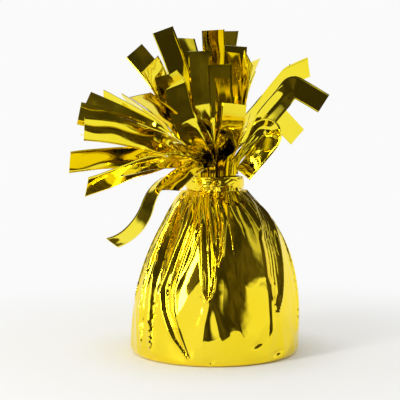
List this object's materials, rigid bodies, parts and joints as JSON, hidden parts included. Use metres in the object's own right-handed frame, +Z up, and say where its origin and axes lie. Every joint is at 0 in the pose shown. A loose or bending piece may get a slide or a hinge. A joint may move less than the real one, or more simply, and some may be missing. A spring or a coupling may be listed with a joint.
{
  "type": "balloon weight",
  "caption": "Free-standing foil balloon weight: a filled tub in a bag of gold film, gathered and tied at a neck, with a pom-pom of film strips above the tie.",
  "frame": {"origin": "middle of the flat underside, on the table", "axes": "+Z up along the axis of the body and neck, -Y towards the front, +X to the front's right"},
  "size_m": [0.0951, 0.1141, 0.1212],
  "materials": {
    "gold_film": "metallised polyester film, mirror bright, creased",
    "tub_plastic": "thin moulded plastic",
    "cement": "cast cement, rough"
  },
  "bodies": {
    "weight": {"outer_wrapper": "gold_film", "inner_wrapper": "gold_film", "ballast_cup": "tub_plastic", "ballast_block": "cement", "neck_tie": "gold_film", "skirt_strip_07": "gold_film", "skirt_strip_08": "gold_film", "skirt_strip_09": "gold_film", "skirt_strip_10": "gold_film", "skirt_strip_11": "gold_film", "ruff_strip_01": "gold_film", "ruff_strip_02": "gold_film", "ruff_strip_03": "gold_film", "ruff_strip_04": "gold_film", "ruff_strip_05": "gold_film", "ruff_strip_06": "gold_film", "ruff_strip_07": "gold_film", "ruff_strip_08": "gold_film", "ruff_strip_09": "gold_film", "ruff_strip_10": "gold_film", "ruff_strip_11": "gold_film", "ruff_strip_12": "gold_film", "plume_strip_01": "gold_film", "plume_strip_02": "gold_film", "plume_strip_03": "gold_film", "plume_strip_04": "gold_film", "plume_strip_05": "gold_film", "plume_strip_06": "gold_film", "plume_strip_07": "gold_film", "plume_strip_08": "gold_film", "plume_strip_09": "gold_film", "plume_strip_10": "gold_film", "crest_strip_01": "gold_film", "crest_strip_02": "gold_film", "crest_strip_03": "gold_film", "crest_strip_04": "gold_film", "crest_strip_05": "gold_film", "crest_strip_06": "gold_film", "crown_strip_01": "gold_film", "crown_strip_02": "gold_film"},
    "skirt_strip_01": {"skirt_strip_01": "gold_film"},
    "skirt_strip_02": {"skirt_strip_02": "gold_film"},
    "skirt_strip_03": {"skirt_strip_03": "gold_film"},
    "skirt_strip_04": {"skirt_strip_04": "gold_film"},
    "skirt_strip_05": {"skirt_strip_05": "gold_film"},
    "skirt_strip_06": {"skirt_strip_06": "gold_film"},
    "skirt_strip_12": {"skirt_strip_12": "gold_film"}
  },
  "joints": [
    {"name": "skirt_strip_01_bend", "type": "hinge", "parent": "weight", "child": "skirt_strip_01", "pos_m": [0.00813, 0.00362, 0.0665], "axis": [-0.4067, 0.9135, 0], "range_deg": [-3, 20], "stiffness_Nm_per_rad": 0.0025},
    {"name": "skirt_strip_02_bend", "type": "hinge", "parent": "weight", "child": "skirt_strip_02", "pos_m": [0.00572, 0.00682, 0.0665], "axis": [-0.766, 0.6428, 0], "range_deg": [-2, 20], "stiffness_Nm_per_rad": 0.0025},
    {"name": "skirt_strip_03_bend", "type": "hinge", "parent": "weight", "child": "skirt_strip_03", "pos_m": [0.00185, 0.0087, 0.0665], "axis": [-0.9781, 0.2079, 0], "range_deg": [-2, 20], "stiffness_Nm_per_rad": 0.0025},
    {"name": "skirt_strip_04_bend", "type": "hinge", "parent": "weight", "child": "skirt_strip_04", "pos_m": [-0.00185, 0.0087, 0.0665], "axis": [-0.9781, -0.2079, 0], "range_deg": [-2, 20], "stiffness_Nm_per_rad": 0.0025},
    {"name": "skirt_strip_05_bend", "type": "hinge", "parent": "weight", "child": "skirt_strip_05", "pos_m": [-0.00536, 0.00711, 0.0665], "axis": [-0.7986, -0.6018, 0], "range_deg": [-2, 20], "stiffness_Nm_per_rad": 0.0025},
    {"name": "skirt_strip_06_bend", "type": "hinge", "parent": "weight", "child": "skirt_strip_06", "pos_m": [-0.00786, 0.00418, 0.0665], "axis": [-0.4695, -0.8829, 0], "range_deg": [-2, 20], "stiffness_Nm_per_rad": 0.0025},
    {"name": "skirt_strip_12_bend", "type": "hinge", "parent": "weight", "child": "skirt_strip_12", "pos_m": [0.00661, -0.00596, 0.0665], "axis": [0.6691, 0.7431, 0], "range_deg": [-1, 20], "stiffness_Nm_per_rad": 0.0025}
  ]
}
